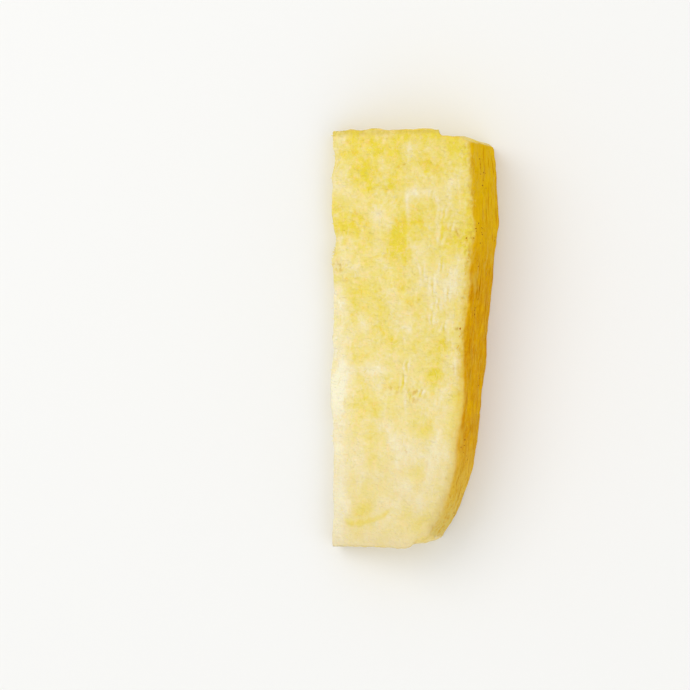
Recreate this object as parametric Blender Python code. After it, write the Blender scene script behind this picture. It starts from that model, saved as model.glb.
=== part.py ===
"""A pineapple spear: one lengthwise wedge of a peeled and cored pineapple, lying on a cut face.

Metres, +Z up. The fruit's own axis runs along Y beside the spear. The narrow core side
faces -X, the broad peeled side faces +X, the base end of the fruit is at -Y and its crown
end at +Y. The lower cut face lies flat on Z = 0 and the upper one rises from the core side.

A point of the spear is found by three shares: along, from the base end to the crown end;
depth, from the core side to the peeled side; and raised, from the lower cut face to the
upper one.
"""

import math

import bmesh
import bpy
from mathutils import Matrix, Vector, noise

# Driving dimensions of the spear.
LENGTH = 0.120
WEDGE = math.radians(30.0)  # a quarter of the fruit, cut in three
CORE_RADIUS = 0.0105
FLESH_RADIUS = 0.0575  # of the peeled fruit, where it is widest
WIDEST_AT = 0.77
BODY_TAPER = 0.0125  # radius lost over a whole length, towards the base end
BASE_ROUNDING = 0.0068  # radius lost besides, at the base end itself
BASE_ROUNDING_AT = 0.26
CROWN_ROUNDING = 0.0016  # radius lost at the crown end
CORE_DRIFT = 0.0006  # the core was cut this much wider at the base end

# The crown end: a broken step, a rounded outer corner, and a slight lean inwards.
CROWN_SLANT = 0.0005
CROWN_STEP_AT = 0.788
CROWN_STEP = 0.0019
CROWN_CORNER_AT = 0.88
CROWN_CORNER = 0.0024
CROWN_LEAN = 0.0004

# The base end: a smaller step near the peeled side, and a slight lean inwards.
BASE_STEP_AT = 0.86
BASE_STEP = 0.0011
BASE_SLANT = 0.0006
BASE_LEAN = 0.0005

STEP_WIDTH = 0.012  # of both steps, as a share of the depth
END_REACH = 0.25  # share of the length over which an end's own shape fades out

# Along the peeled side the upper cut face falls away, over a band that widens to the base.
FALL_AT_CROWN = 0.0016
FALL_AT_BASE = 0.0072
FALL_SLOPE = 0.07
FALL_CURVE = 0.40

# The peeled side: steeper than the barrel towards the base end, and rounded off at its top.
STEEPER = 0.0010
STEEPER_FROM = 0.60
STEEPER_TO = 0.28
BROW_REACH = 0.0060
BROW_DROP = 0.0004
BROW_DROP_AT_BASE = 0.0014
BROW_BASE_AT = 0.20

# Edges that the knife left.
EDGE_BEVEL = 0.0004
EDGE_SEGMENTS = 2
SHARP_EDGE = math.radians(50.0)

# Uneven surfaces: how far they stand off a true one, and the size of the bumps.
CORE_WAVE = 0.0006
CORE_WAVE_SIZE = (0.011, 0.011, 0.011)
CUT_WAVE = 0.00035
CUT_WAVE_SIZE = (0.009, 0.009, 0.009)
FLAKE_WAVE = 0.00022
FLAKE_WAVE_SIZE = (0.0034, 0.0034, 0.0034)
PEEL_WAVE = 0.0008
PEEL_WAVE_SIZE = (0.006, 0.016, 0.006)  # stretched along the fibres
END_WAVE = 0.0005
END_WAVE_SIZE = (0.006, 0.006, 0.006)
END_WAVE_REACH = 0.10  # share of the length
SIDE_REACH = 0.18  # share of the depth that moves with the core side, and with the peeled side
LIFT_FADE = 3  # the power by which the upper cut face's waves fade towards the lower one

# A torn nick in the upper core edge.
NICK_AT = 0.717
NICK_HALF_LENGTH = 0.0030
NICK_DEPTH = 0.0013
NICK_REACH = 0.0040

# Shallow hollows across the peeled side, where the fruit's eyes were cut out.
EYE_ROWS = 6
EYE_PITCH = 0.0190
EYE_FIRST = -0.049
EYE_RADIUS = 0.0042
EYE_DEPTH = 0.0009
EYE_ANGLES = (math.radians(9.0), math.radians(22.0))

# Mesh steps across the depth, along the length and round the wedge.
DEPTH_STEPS = 22
DEPTH_CROWDING = 1.25  # over 1, the steps are finer towards the peeled side
LENGTH_STEPS = 56
WEDGE_STEPS = 12

FLESH_COLOUR = (0.87, 0.70, 0.24, 1.0)
FLESH_ROUGHNESS = 0.38


def smooth_share(value):
    """0 below 0, 1 above 1, and a smooth rise between them."""
    share = min(1.0, max(0.0, value))
    return share * share * (3.0 - 2.0 * share)


def fading(distance, reach):
    """1 where there is no distance, falling smoothly to 0 at the reach."""
    return smooth_share(1.0 - distance / reach)


def flesh_radius(along):
    """The barrel of the peeled fruit."""
    to_widest = along - WIDEST_AT
    if to_widest > 0.0:
        return FLESH_RADIUS - CROWN_ROUNDING * (to_widest / (1.0 - WIDEST_AT)) ** 2
    near_base = max(0.0, 1.0 - along / BASE_ROUNDING_AT)
    return FLESH_RADIUS + BODY_TAPER * to_widest - BASE_ROUNDING * near_base**2


def crown_set_back(depth):
    """How far the crown end stands back at a depth."""
    step = CROWN_STEP * smooth_share((depth - CROWN_STEP_AT) / STEP_WIDTH + 0.5)
    corner = max(0.0, (depth - CROWN_CORNER_AT) / (1.0 - CROWN_CORNER_AT))
    return CROWN_SLANT * depth + step + CROWN_CORNER * corner**2


def base_set_back(depth):
    """How far the base end stands back at a depth."""
    step = BASE_STEP * smooth_share((depth - BASE_STEP_AT) / STEP_WIDTH + 0.5)
    slant = max(0.0, (depth - BASE_STEP_AT) / (1.0 - BASE_STEP_AT))
    return step + BASE_SLANT * slant


def bump(place, sizes, amount):
    """An even, repeatable swelling and sinking of a surface, up to about the amount."""
    return amount * noise.noise(Vector(p / size for p, size in zip(place, sizes)))


def column_depths():
    """The depth of each lengthwise line of points, two of them beside each end's step."""
    depths = [1.0 - (1.0 - i / DEPTH_STEPS) ** DEPTH_CROWDING for i in range(DEPTH_STEPS + 1)]
    for step_at in (CROWN_STEP_AT, BASE_STEP_AT):
        past = next(i for i, depth in enumerate(depths) if depth > step_at)
        depths[past - 1] = step_at - STEP_WIDTH / 2.0
        depths[past] = step_at + STEP_WIDTH / 2.0
    return depths


def long_section():
    """The cut face as a flat grid beside the fruit's axis, from the core out to the peel."""
    depths = column_depths()
    sheet = bmesh.new()
    bmesh.ops.create_grid(sheet, x_segments=DEPTH_STEPS, y_segments=LENGTH_STEPS, size=0.5)
    for vertex in sheet.verts:
        depth = depths[round((vertex.co.x + 0.5) * DEPTH_STEPS)]
        along = vertex.co.y + 0.5
        radius = CORE_RADIUS + (flesh_radius(along) - CORE_RADIUS) * depth
        vertex.co = Vector((radius, (along - 0.5) * LENGTH, 0.0))
    return sheet


def swing_up(sheet):
    """The grid swung round the fruit's axis by the wedge, which closes it into a solid."""
    bmesh.ops.spin(
        sheet,
        geom=sheet.verts[:] + sheet.edges[:] + sheet.faces[:],
        cent=(0.0, 0.0, 0.0),
        axis=(0.0, 1.0, 0.0),
        angle=-WEDGE,
        steps=WEDGE_STEPS,
        use_duplicate=False,
    )
    bmesh.ops.recalc_face_normals(sheet, faces=sheet.faces[:])
    return sheet


def soften_edges(solid):
    """A small bevel on every edge that the knife left sharp."""
    sharp = [e for e in solid.edges if e.is_manifold and e.calc_face_angle() > SHARP_EDGE]
    bmesh.ops.bevel(
        solid,
        geom=sharp,
        offset=EDGE_BEVEL,
        segments=EDGE_SEGMENTS,
        profile=0.5,
        affect="EDGES",
        material=-1,
    )


def eye_hollow(angle, y):
    """How deep a point of the peeled side lies in a hollow."""
    deepest = 0.0
    for row in range(EYE_ROWS):
        across = (angle - EYE_ANGLES[row % 2]) * FLESH_RADIUS
        away = math.hypot(across, y - EYE_FIRST - row * EYE_PITCH)
        deepest = max(deepest, EYE_DEPTH * fading(away, EYE_RADIUS))
    return deepest


def peel_change(place, angle, along, below_ridge):
    """How far the peeled side stands out from the barrel."""
    drop = BROW_DROP + (BROW_DROP_AT_BASE - BROW_DROP) * fading(along, BROW_BASE_AT)
    brow = drop * max(0.0, 1.0 - below_ridge / BROW_REACH) ** 2
    towards_base = smooth_share((STEEPER_FROM - along) / (STEEPER_FROM - STEEPER_TO))
    steeper = STEEPER * towards_base * angle / WEDGE
    wave = bump(place, PEEL_WAVE_SIZE, PEEL_WAVE)
    return wave + steeper - brow - eye_hollow(angle, place.y)


def core_change(place, along, below_ridge):
    """How far the core side lies outwards of the true core."""
    from_nick = abs(along - NICK_AT) * LENGTH
    nick = NICK_DEPTH * fading(from_nick, NICK_HALF_LENGTH) * fading(below_ridge, NICK_REACH)
    wave = bump((0.0, place.y, place.z), CORE_WAVE_SIZE, CORE_WAVE)
    return wave + nick + CORE_DRIFT * (1.0 - along)


def face_lift(place, along, from_peel):
    """How far the upper cut face stands above a true one."""
    band = FALL_AT_BASE + (FALL_AT_CROWN - FALL_AT_BASE) * along
    into_band = max(0.0, band - from_peel)
    fall = into_band * (FALL_SLOPE + FALL_CURVE * into_band / band)
    wave = bump((place.x, place.y, 0.0), CUT_WAVE_SIZE, CUT_WAVE)
    flake = bump((place.y, place.x, 0.0), FLAKE_WAVE_SIZE, FLAKE_WAVE)
    return wave + flake - fall


def upright_depth(depth, angle, along):
    """The depth moved inwards below the upper cut face, so that an end's step is upright."""
    step_at = CROWN_STEP_AT if along > 0.5 else BASE_STEP_AT
    thickness = flesh_radius(along) - CORE_RADIUS
    step_radius = (CORE_RADIUS + thickness * step_at) * math.cos(WEDGE) / math.cos(angle)
    moved_step = (step_radius - CORE_RADIUS) / thickness
    if depth < step_at:
        moved = depth * moved_step / step_at
    else:
        moved = 1.0 - (1.0 - depth) * (1.0 - moved_step) / (1.0 - step_at)
    return depth + (moved - depth) * smooth_share(abs(2.0 * along - 1.0))


def end_shift(place, along, depth, raised):
    """How far a point moves along Y: each end is stepped, leans and is a little rough."""
    from_end = min(along, 1.0 - along)
    end_place = (place.x, math.copysign(LENGTH, place.y), place.z)
    rough = bump(end_place, END_WAVE_SIZE, END_WAVE) * fading(from_end, END_WAVE_REACH)
    if along > 0.5:
        set_back = crown_set_back(depth) + CROWN_LEAN * (1.0 - raised)
        return rough - set_back * fading(from_end, END_REACH)
    set_back = base_set_back(depth) + BASE_LEAN * (1.0 - raised)
    return rough + set_back * fading(from_end, END_REACH)


def make_real(solid):
    """Moves each point off the true wedge, about and along the fruit's axis.

    The upper cut face turns about that axis, by less towards the lower one, so the lower
    face stays flat.
    """
    for vertex in solid.verts:
        place = vertex.co.copy()
        angle = math.atan2(place.z, place.x)
        along = place.y / LENGTH + 0.5
        raised = angle / WEDGE
        outer = flesh_radius(along)
        depth = (math.hypot(place.x, place.z) - CORE_RADIUS) / (outer - CORE_RADIUS)

        y = place.y + end_shift(place, along, depth, raised)
        along = y / LENGTH + 0.5
        outer = flesh_radius(along)
        depth = upright_depth(depth, angle, along)
        radius = CORE_RADIUS + (outer - CORE_RADIUS) * depth
        below_ridge = (WEDGE - angle) * radius

        angle += raised**LIFT_FADE * face_lift(place, along, outer - radius) / radius
        near_core = fading(depth, SIDE_REACH)
        near_peel = fading(1.0 - depth, SIDE_REACH)
        radius += near_core * core_change(place, along, below_ridge)
        radius += near_peel * peel_change(place, angle, along, below_ridge)
        vertex.co = Vector((radius * math.cos(angle), y, radius * math.sin(angle)))


def stand_at_origin(solid):
    """Puts the middle of the spear's box over the origin and its lower cut face on Z = 0."""
    low = Vector(min(v.co[i] for v in solid.verts) for i in range(3))
    high = Vector(max(v.co[i] for v in solid.verts) for i in range(3))
    middle = (low + high) / 2.0
    shift = Matrix.Translation((-middle.x, -middle.y, -low.z))
    bmesh.ops.transform(solid, matrix=shift, verts=solid.verts[:])


def flesh_material():
    material = bpy.data.materials.new("pineapple_flesh")
    material.use_nodes = True
    shader = material.node_tree.nodes["Principled BSDF"]
    shader.inputs["Base Color"].default_value = FLESH_COLOUR
    shader.inputs["Roughness"].default_value = FLESH_ROUGHNESS
    shader.inputs["Metallic"].default_value = 0.0
    return material


def make_spear(collection):
    solid = swing_up(long_section())
    soften_edges(solid)
    make_real(solid)
    stand_at_origin(solid)
    mesh = bpy.data.meshes.new("spear")
    solid.to_mesh(mesh)
    solid.free()
    mesh.materials.append(flesh_material())
    mesh.shade_smooth()
    mesh.set_sharp_from_angle(angle=SHARP_EDGE)
    collection.objects.link(bpy.data.objects.new("spear", mesh))


def main():
    for old in list(bpy.data.objects):
        bpy.data.objects.remove(old)
    collection = bpy.data.collections.new("pineapple_spear")
    bpy.context.scene.collection.children.link(collection)
    make_spear(collection)


main()
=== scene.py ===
"""A pineapple spear as it looks: moist cut flesh, and on its peeled side torn fibres and eyes.

Metres, +Z up. The fruit's own axis runs along Y beside the spear, at the height of its flat
lower face. The core side faces -X, the peeled side +X and the crown end +Y. The grain and
marks of the surface are given in millimetres.
"""
import math
import random

import bmesh
import bpy
from mathutils import Matrix, Vector, noise
from mathutils.bvhtree import BVHTree


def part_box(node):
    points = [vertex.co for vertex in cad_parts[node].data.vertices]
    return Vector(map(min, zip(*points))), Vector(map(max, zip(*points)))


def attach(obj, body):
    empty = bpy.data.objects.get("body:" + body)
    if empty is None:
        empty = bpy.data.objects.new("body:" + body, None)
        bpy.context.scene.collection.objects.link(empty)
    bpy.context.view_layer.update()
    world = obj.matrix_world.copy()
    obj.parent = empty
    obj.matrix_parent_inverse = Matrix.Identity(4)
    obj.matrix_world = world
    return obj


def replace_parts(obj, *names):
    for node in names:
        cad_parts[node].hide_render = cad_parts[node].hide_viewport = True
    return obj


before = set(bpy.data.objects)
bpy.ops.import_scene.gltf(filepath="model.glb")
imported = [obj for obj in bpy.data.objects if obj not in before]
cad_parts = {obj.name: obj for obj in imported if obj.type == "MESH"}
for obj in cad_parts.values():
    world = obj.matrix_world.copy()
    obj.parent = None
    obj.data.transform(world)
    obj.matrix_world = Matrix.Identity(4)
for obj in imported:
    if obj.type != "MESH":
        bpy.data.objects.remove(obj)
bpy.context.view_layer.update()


# ---- The flesh ---------------------------------------------------------------------------
# One wedge of a peeled and cored fruit, cut with a knife on every side. Cloudy, juicy flesh:
# pale and dense by the core, deep yellow and cream in between, golden where the peel was.
# The knife slid through it on the cut faces and tore it along the fibres on the peeled side.

MM = 0.001
WEDGE = math.radians(30.0)
CORE_RADIUS = 10.5  # of the core side, about the fruit's axis
MIDDLE_RADIUS = 35.0
PEEL_RADIUS = 55.0  # roughly that of the peeled side
low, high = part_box("spear")
BASE_Y, CROWN_Y = low.y / MM, high.y / MM
AXIS_X = low.x / MM - CORE_RADIUS * math.cos(WEDGE)

MERGE = 0.01 * MM
MESH_STEP = 0.44 * MM
SMOOTHING_ROUNDS = 3


def smooth_share(value):
    """0 below 0, 1 above 1, and a smooth rise between them."""
    share = min(1.0, max(0.0, value))
    return share * share * (3.0 - 2.0 * share)


def fading(distance, reach):
    """1 where there is no distance, falling smoothly to 0 at the reach."""
    return smooth_share(1.0 - distance / reach)


def smooth_out(body, verts, rounds):
    """Evens out some points of a surface, a little more each round."""
    for _ in range(rounds):
        bmesh.ops.smooth_vert(
            body, verts=verts, factor=0.5, use_axis_x=True, use_axis_y=True, use_axis_z=True
        )
    body.normal_update()


def add_object(name, data):
    """An object of the scene that holds a mesh, a lamp or a camera."""
    made = bpy.data.objects.new(name, data)
    bpy.context.scene.collection.objects.link(made)
    return made


def mesh_of(name, body):
    """The mesh of a bmesh, which is used up."""
    mesh = bpy.data.meshes.new(name)
    body.to_mesh(mesh)
    body.free()
    return mesh


def even_copy(node):
    """A copy of a solid's surface in small even squares, which can take fine relief."""
    copied = bmesh.new()
    copied.from_mesh(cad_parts[node].data)
    bmesh.ops.remove_doubles(copied, verts=copied.verts[:], dist=MERGE)
    merged = mesh_of(node + "_merged", copied)
    holder = add_object(node + "_merged", merged)
    remesh = holder.modifiers.new("even", "REMESH")
    remesh.mode = "VOXEL"
    remesh.voxel_size = MESH_STEP
    remeshed = holder.evaluated_get(bpy.context.evaluated_depsgraph_get())
    even = bmesh.new()
    even.from_mesh(remeshed.to_mesh())
    remeshed.to_mesh_clear()
    bpy.data.objects.remove(holder)
    bpy.data.meshes.remove(merged)
    smooth_out(even, even.verts[:], SMOOTHING_ROUNDS)
    return even


flesh = even_copy("spear")
smooth_shape = BVHTree.FromBMesh(flesh)

FAR_OUT = 100.0
# The depth under the skin is measured this far in from both ends, and between two angles.
END_CLEAR = 6.0
ANGLE_CLEAR = (math.radians(2.0), math.radians(25.0))


def on_peeled_side(angle, y, shape):
    """The point of the peeled side at an angle about the fruit's axis, and its normal."""
    outwards = Vector((math.cos(angle), 0.0, math.sin(angle)))
    start = Vector((AXIS_X, y, 0.0)) + outwards * FAR_OUT
    place, normal = shape.ray_cast(start * MM, -outwards)[:2]
    return place / MM, normal


def skin_radius(angle, y):
    """How far from the fruit's axis the peeled side lies."""
    angle = min(max(angle, ANGLE_CLEAR[0]), ANGLE_CLEAR[1])
    y = min(max(y, BASE_Y + END_CLEAR), CROWN_Y - END_CLEAR)
    place = on_peeled_side(angle, y, smooth_shape)[0]
    return math.hypot(place.x - AXIS_X, place.z)


def about_axis(place):
    """The angle of a point about the fruit's axis, and its distance from it."""
    return math.atan2(place.z, place.x - AXIS_X), math.hypot(place.x - AXIS_X, place.z)


# The ridge over the peeled side is worn round: below each of these places along Y it is
# smoothed by so many more rounds.
RIDGE_WEAR = ((6.0, 6), (-10.0, 10), (-24.0, 30))
WEAR_REACH = 7.0
WEAR_ANGLE = math.radians(22.0)
WEAR_FROM_BASE = 1.5

worn = []
for vertex in flesh.verts:
    place = vertex.co / MM
    angle, radius = about_axis(place)
    if angle > WEAR_ANGLE and place.y > BASE_Y + WEAR_FROM_BASE:
        if skin_radius(angle, place.y) - radius < WEAR_REACH:
            worn.append(vertex)
for y, rounds in RIDGE_WEAR:
    smooth_out(flesh, [v for v in worn if v.co.y < y * MM], rounds)
smooth_shape = BVHTree.FromBMesh(flesh)


def on_upper_face(y, across):
    """A point of the upper cut face, a distance out from the core edge."""
    radius = CORE_RADIUS + across
    return Vector((AXIS_X + radius * math.cos(WEDGE), y, radius * math.sin(WEDGE)))


def ripple(place, sizes, shift=0.0):
    """Noise of about -1 to 1, with swells of these sizes."""
    x, y, z = place
    return noise.noise(Vector((x / sizes[0] + shift, y / sizes[1] + shift, z / sizes[2] - shift)))


UP_FACE = Vector((-math.sin(WEDGE), 0.0, math.cos(WEDGE)))
OUT_FACE = Vector((math.cos(WEDGE), 0.0, math.sin(WEDGE)))
DOWN_FACE = Vector((0.0, 0.0, -1.0))

# Marks in the upper face, each at a distance along Y and out from the core edge. Fruitlets
# that the knife cut through show as pale rounded rings, with a half length, a half width and
# how clear the ring is.
FRUITLETS = (
    (33.4, 30.5, 8.4, 4.8, 1.0),
    (12.0, 33.0, 4.6, 4.4, 0.4),
    (-37.0, 27.0, 4.4, 4.8, 0.3),
)
RING_WIDTH = 1.3
RING_DEPTH = 6.0
MARK_DEPTH = 4.0  # how deep the other marks go into the flesh
# The wall of a larger fruitlet runs as a yellow line round this point, near the base end.
ARC_MIDDLE = (-34.0, 8.5)
ARC_RADIUS = 18.9
ARC_WIDTH = 1.4
ARC_FROM, ARC_TO = -5.5, 13.5
# Slits where the knife opened a fruitlet lengthwise, with a half length and a lean.
SLITS = (
    (35.5, 37.3, 2.6, 0.30),
    (28.6, 36.6, 2.8, 0.15),
    (32.0, 39.6, 2.0, 0.25),
    (41.0, 33.5, 1.6, 0.35),
    (15.0, 33.5, 3.6, 0.05),
    (19.5, 30.3, 2.4, -0.05),
    (9.5, 35.6, 2.8, 0.08),
    (-12.5, 23.6, 3.4, 0.10),
    (20.5, 36.4, 3.0, 0.12),
    (12.6, 38.6, 2.6, 0.05),
    (5.6, 33.4, 2.4, -0.10),
    (3.0, 37.0, 1.8, 0.10),
    (-8.0, 25.2, 2.4, 0.15),
    (-15.4, 30.0, 1.4, 0.60),
)
# Pale bundles of fibres and a few yellow lines: a half length, a half width, a lean, and how
# much yellower the flesh is there.
STREAKS = (
    (53.5, 25.9, 4.6, 0.9, 0.13, -0.34),
    (50.7, 33.0, 2.9, 0.9, 0.0, -0.30),
    (43.0, 6.9, 2.3, 0.5, 0.30, -0.36),
    (33.0, 8.6, 2.2, 0.75, -0.7, -0.36),
    (28.1, 3.3, 2.4, 0.8, 0.2, -0.36),
    (41.5, 39.5, 5.0, 0.6, -0.05, -0.28),
    (22.5, 17.0, 1.0, 3.4, 0.0, -0.24),
    (16.7, 29.7, 3.8, 0.5, 0.0, -0.32),
    (15.8, 35.0, 3.0, 0.9, 0.0, -0.34),
    (19.0, 39.6, 3.0, 0.5, 0.0, -0.30),
    (10.1, 33.5, 3.8, 0.5, -0.05, -0.42),
    (5.5, 35.0, 1.8, 0.5, -0.3, -0.34),
    (2.0, 21.0, 1.2, 2.4, 0.0, -0.22),
    (-9.4, 11.2, 1.5, 6.6, 0.1, -0.14),
    (-16.5, 24.7, 8.5, 0.7, 0.0, -0.36),
    (-12.9, 12.0, 0.6, 2.8, 0.0, 0.26),
    (-14.6, 9.2, 1.9, 0.6, 0.0, 0.24),
    (-34.0, 24.6, 1.9, 0.5, 0.0, -0.34),
    (-34.4, 26.9, 1.6, 0.5, 0.0, -0.28),
    (-42.2, 24.6, 0.5, 1.5, 0.0, -0.30),
    (39.4, 21.8, 1.1, 0.5, 0.6, 0.34),
    (47.5, 31.5, 0.5, 1.2, 0.0, 0.30),
)
SLIT_WIDTH = 0.55
LIP_AT = 0.75  # from the middle of the slit
LIP_WIDTH = 0.8
MARK_SOFTNESS = 1.3  # a slit or a streak fades out at so many times its half size
# Small places where the knife tore the flesh into flakes and pits, with a reach.
TEARS = (
    (-16.0, 27.5, 4.0),
    (-14.5, 21.0, 2.5),
    (49.0, 24.0, 2.5),
    (21.0, 3.0, 3.0),
    (30.0, 41.0, 3.5),
    (2.2, 42.0, 1.9),
    (-9.0, 40.3, 1.3),
    (-31.5, 25.0, 1.6),
)
# Riper and cloudier patches: a half length, a half width, and how much yellower the flesh is.
PATCHES = (
    (51.0, 12.0, 6.0, 10.0, 0.35),
    (46.0, 21.0, 4.0, 4.5, 0.45),
    (50.0, 25.5, 6.0, 3.0, -0.30),
    (30.5, 20.0, 5.0, 3.5, 0.34),
    (20.8, 20.5, 3.5, 6.0, -0.42),
    (13.5, 9.0, 3.2, 6.5, 0.40),
    (9.5, 22.5, 4.5, 3.5, 0.45),
    (13.5, 35.5, 6.5, 6.0, -0.34),
    (9.8, 38.6, 1.6, 1.4, 0.30),
    (5.0, 13.0, 3.5, 7.0, -0.25),
    (-2.0, 36.0, 5.0, 5.0, 0.40),
    (-6.0, 34.0, 9.0, 8.0, 0.36),
    (-13.0, 32.0, 5.0, 6.0, 0.10),
    (-6.3, 9.5, 1.8, 4.5, 0.35),
    (-9.8, 11.5, 2.4, 8.0, -0.24),
    (-14.0, 5.5, 13.0, 5.0, -0.12),
    (-18.5, 15.5, 3.5, 3.5, 0.30),
    (-24.5, 15.5, 3.0, 5.5, -0.60),
    (-26.0, 31.0, 3.5, 3.0, 0.35),
    (-33.5, 27.0, 4.5, 5.5, -0.35),
    (-49.0, 9.5, 3.5, 3.4, 0.80),
    (-41.5, 14.5, 4.0, 7.0, -0.30),
    (48.0, 42.0, 4.5, 3.0, -0.20),
    (37.5, 43.5, 4.5, 3.0, 0.20),
    (22.0, 41.0, 9.5, 3.0, -0.30),
    (38.1, 32.3, 1.6, 1.5, 0.30),
    (-34.5, 14.5, 2.4, 1.8, 0.30),
    (-50.5, 25.5, 3.0, 4.5, 0.42),
    (-47.2, 17.6, 2.6, 3.2, -0.30),
    (-57.2, 16.5, 1.8, 1.4, 0.45),
    (-56.5, 25.5, 2.6, 3.0, 0.10),
)
# Places where the cut is grainy with opened cells, and how grainy each is.
GRAINY_PLACES = (
    (-2.0, 35.5, 13.0, 5.5, 1.0),
    (-15.5, 28.5, 3.5, 7.0, 0.8),
    (33.0, 40.5, 14.0, 4.0, 0.8),
    (49.0, 19.5, 5.5, 4.0, 1.0),
    (45.0, 32.0, 3.0, 5.0, 0.8),
    (12.0, 33.0, 6.0, 5.0, 0.7),
    (4.0, 18.0, 4.0, 6.0, 0.5),
    (-31.5, 24.5, 3.5, 3.0, 0.5),
)
PATCH_DEPTH = 9.0
PATCH_WANDER = 2.0  # how far the noise carries a patch's outline


def fruitlet_ring(place):
    """1 on the pale wall round a fruitlet, and how far inside one a point lies."""
    wall, inside = 0.0, 0.0
    broken = smooth_share(0.7 + 2.0 * ripple(place, (3.5, 3.5, 3.5), 41.5))
    for y, across, half_length, half_width, strength in FRUITLETS:
        away = place - on_upper_face(y, across)
        off_face = abs(away.dot(UP_FACE))
        sideways = math.hypot(away.x, away.z) / half_width
        lengthwise = away.y / half_length
        size = (sideways**4 + lengthwise**4) ** 0.25 + 0.12 * ripple(place, (3.0, 3.0, 3.0), 1.3)
        off_wall = (size - 1.0) * min(half_length, half_width)
        near = strength * fading(off_face, RING_DEPTH)
        closed = 0.30 + 0.70 * smooth_share(lengthwise + 0.9)
        shown = near * closed * (0.75 + 0.25 * broken)
        wall = max(wall, shown * fading(abs(off_wall), RING_WIDTH))
        inside = max(inside, near * smooth_share(-off_wall / RING_WIDTH))
    return wall, inside


def from_mark(place, y, across):
    """How far a point lies from a mark's middle: along Y, outwards, and off the face."""
    away = place - on_upper_face(y, across)
    return away.y, away.dot(OUT_FACE), abs(away.dot(UP_FACE))


def base_arc(place):
    """1 on the yellow line that curves over the face near the base end."""
    along, out, depth = from_mark(place, *ARC_MIDDLE)
    wander = 0.7 * ripple(place, (3.0, 3.0, 3.0), 6.1)
    off_line = abs(math.hypot(along, out) - ARC_RADIUS + wander)
    shown = smooth_share((out - ARC_FROM) / 3.0) * smooth_share((ARC_TO - out) / 3.0)
    return shown * fading(off_line, ARC_WIDTH) * fading(depth, MARK_DEPTH) * (along < 0.0)


def slit_marks(place):
    """1 in the bottom of a slit, and 1 on the pale lips that stand along it."""
    furrow, lips = 0.0, 0.0
    for y, across, half_length, lean in SLITS:
        along, out, depth = from_mark(place, y, across)
        shown = fading(depth, MARK_DEPTH) * fading(abs(along) / half_length, MARK_SOFTNESS)
        if shown:
            wander = 0.5 * ripple(place, (1.4, 2.2, 1.4), 17.0)
            sideways = abs(out - lean * along + wander)
            furrow = max(furrow, shown * fading(sideways, SLIT_WIDTH))
            lips = max(lips, shown * fading(abs(sideways - LIP_AT), LIP_WIDTH))
    return furrow, lips


def tear_share(place):
    """1 in the middle of a torn place."""
    deepest = 0.0
    wander = 1.2 * ripple(place, (1.6, 1.6, 1.6), 4.0)
    for y, across, reach in TEARS:
        away = (place - on_upper_face(y, across)).length + wander
        deepest = max(deepest, fading(max(0.0, away), reach))
    return deepest


def streak_tone(place):
    """How much yellower the flesh is on a streak."""
    tone = 0.0
    wander = 0.6 * ripple(place, (2.0, 2.6, 2.0), 19.0)
    broken = 0.35 + 0.65 * smooth_share(0.6 + 2.0 * ripple(place, (1.2, 1.8, 1.2), 29.0))
    for y, across, half_length, half_width, lean, amount in STREAKS:
        along, out, depth = from_mark(place, y, across)
        if abs(along) < MARK_SOFTNESS * half_length:
            sideways = abs(out - lean * along + wander) / half_width
            shown = fading(abs(along) / half_length, MARK_SOFTNESS) * fading(depth, MARK_DEPTH)
            tone += amount * broken * shown * fading(sideways, MARK_SOFTNESS)
    return tone


def patch_tone(place, patches):
    """How far a point lies in soft-edged patches, times what each patch counts for."""
    shift = Vector(ripple(place, (5.0, 5.0, 5.0), k) for k in (11.0, 12.0, 13.0)) * PATCH_WANDER
    tone = 0.0
    for y, across, half_length, half_width, amount in patches:
        away = place + shift - on_upper_face(y, across)
        off_face = away.dot(UP_FACE)
        in_face = math.hypot(away.x, away.z) / half_width
        size = math.sqrt(in_face**2 + (away.y / half_length) ** 2 + (off_face / PATCH_DEPTH) ** 2)
        tone += amount * fading(size, 1.5)
    return tone


CELL_SIZE = 6.5
CELL_SKIN = 0.13  # of a cell's size


def membrane(place):
    """1 on the thin pale skins between the flesh's cells, where they show."""
    shift = Vector(ripple(place, (3.0, 3.0, 3.0), k) for k in (21.0, 22.0, 23.0))
    nearest, second = noise.voronoi((place + shift) / CELL_SIZE)[0][:2]
    shown = smooth_share(0.4 + 2.2 * ripple(place, (9.0, 12.0, 9.0), 31.0))
    shown *= smooth_share((place.y + 30.0) / 20.0)
    return shown * fading(second - nearest, CELL_SKIN)


RAGGED_FROM = -6.0  # the ridge over the peeled side is ragged from here up to the crown end
RAGGED_OVER = 18.0
RAGGED_REACH = 4.6
PITTED_AT, PITTED_OVER = 29.0, 15.0  # where along the ridge most of its pits are


def ragged_share(place, skin):
    """How ragged the flesh is by the ridge, where the peeling knife dragged at it."""
    return fading(skin, RAGGED_REACH) * smooth_share((place.y - RAGGED_FROM) / RAGGED_OVER)


def pit_share(place, ragged, torn):
    """1 in the small pits of the torn places and of the ridge's most ragged part, painted with
    amber shade.
    """
    pitted = 0.25 + 0.75 * fading(abs(place.y - PITTED_AT), PITTED_OVER)
    torn_open = max(ragged * pitted, 0.7 * torn)
    return torn_open * smooth_share((ripple(place, (0.75, 1.1, 0.75), 51.0) - 0.12) / 0.16)


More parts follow.
